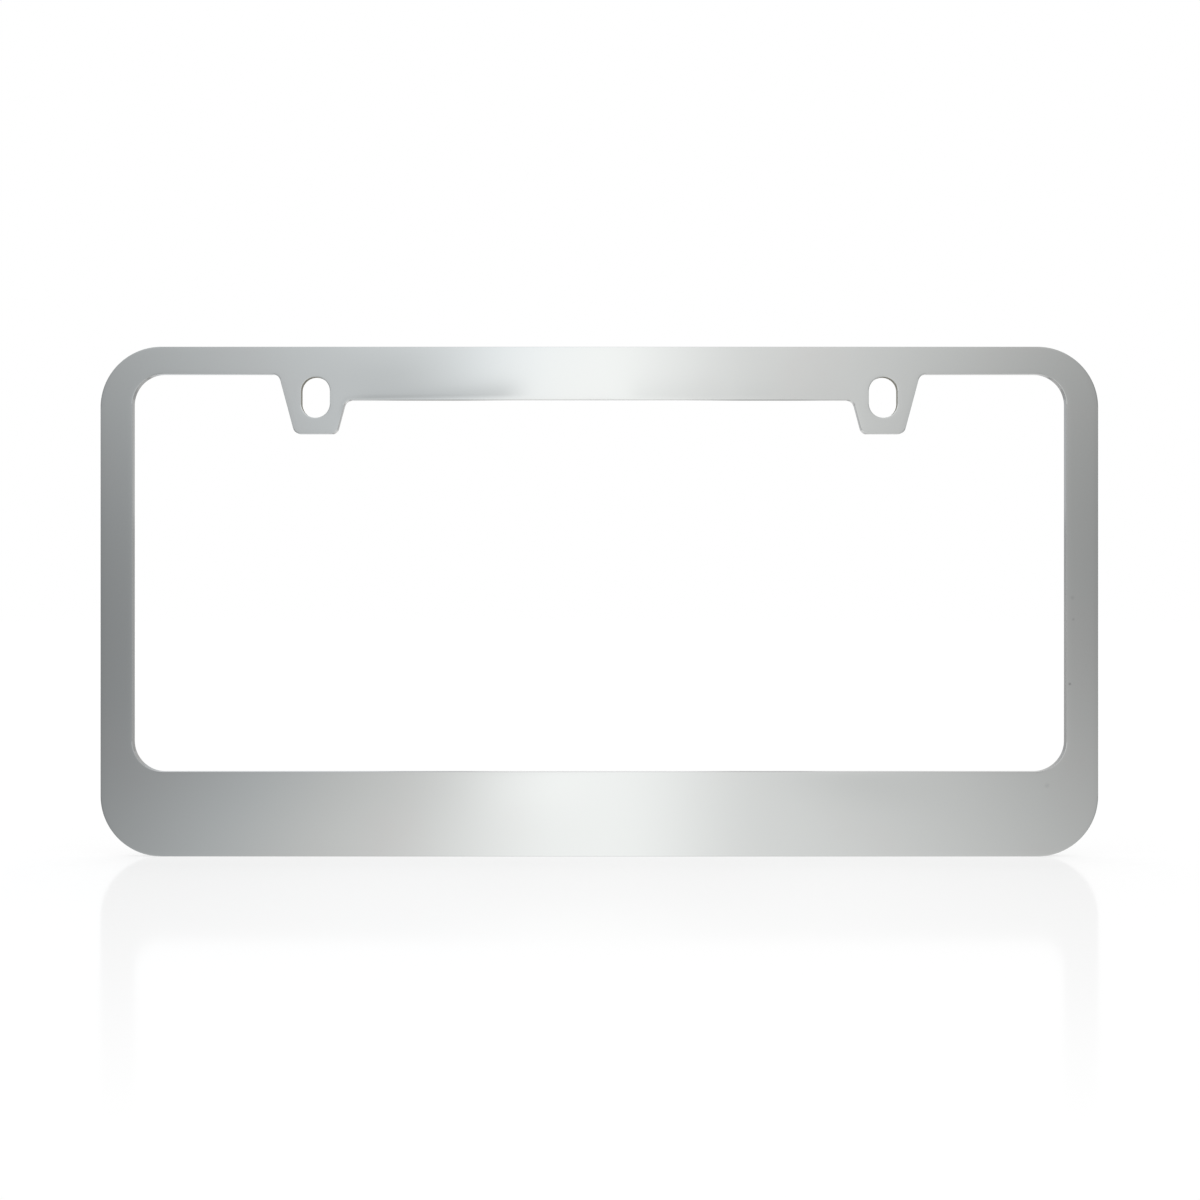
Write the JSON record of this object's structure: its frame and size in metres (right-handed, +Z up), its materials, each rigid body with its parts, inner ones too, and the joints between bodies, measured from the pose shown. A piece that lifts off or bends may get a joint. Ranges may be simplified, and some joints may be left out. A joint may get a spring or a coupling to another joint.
{
  "type": "number plate holder",
  "caption": "Flat bright-metal frame for a car number plate, with a wide lower band and tabs slotted for screws.",
  "frame": {"origin": "on the rear face, midway between the centres of the two screw slots", "axes": "+Z up as fitted to the car, +X to the right as seen from the front, +Y out of the rear face, so the front face looks along -Y"},
  "size_m": [0.3124, 0.003, 0.1596],
  "materials": {
    "bright_metal": "polished"
  },
  "bodies": {
    "root": {"plate_frame": "bright_metal"}
  },
  "joints": []
}
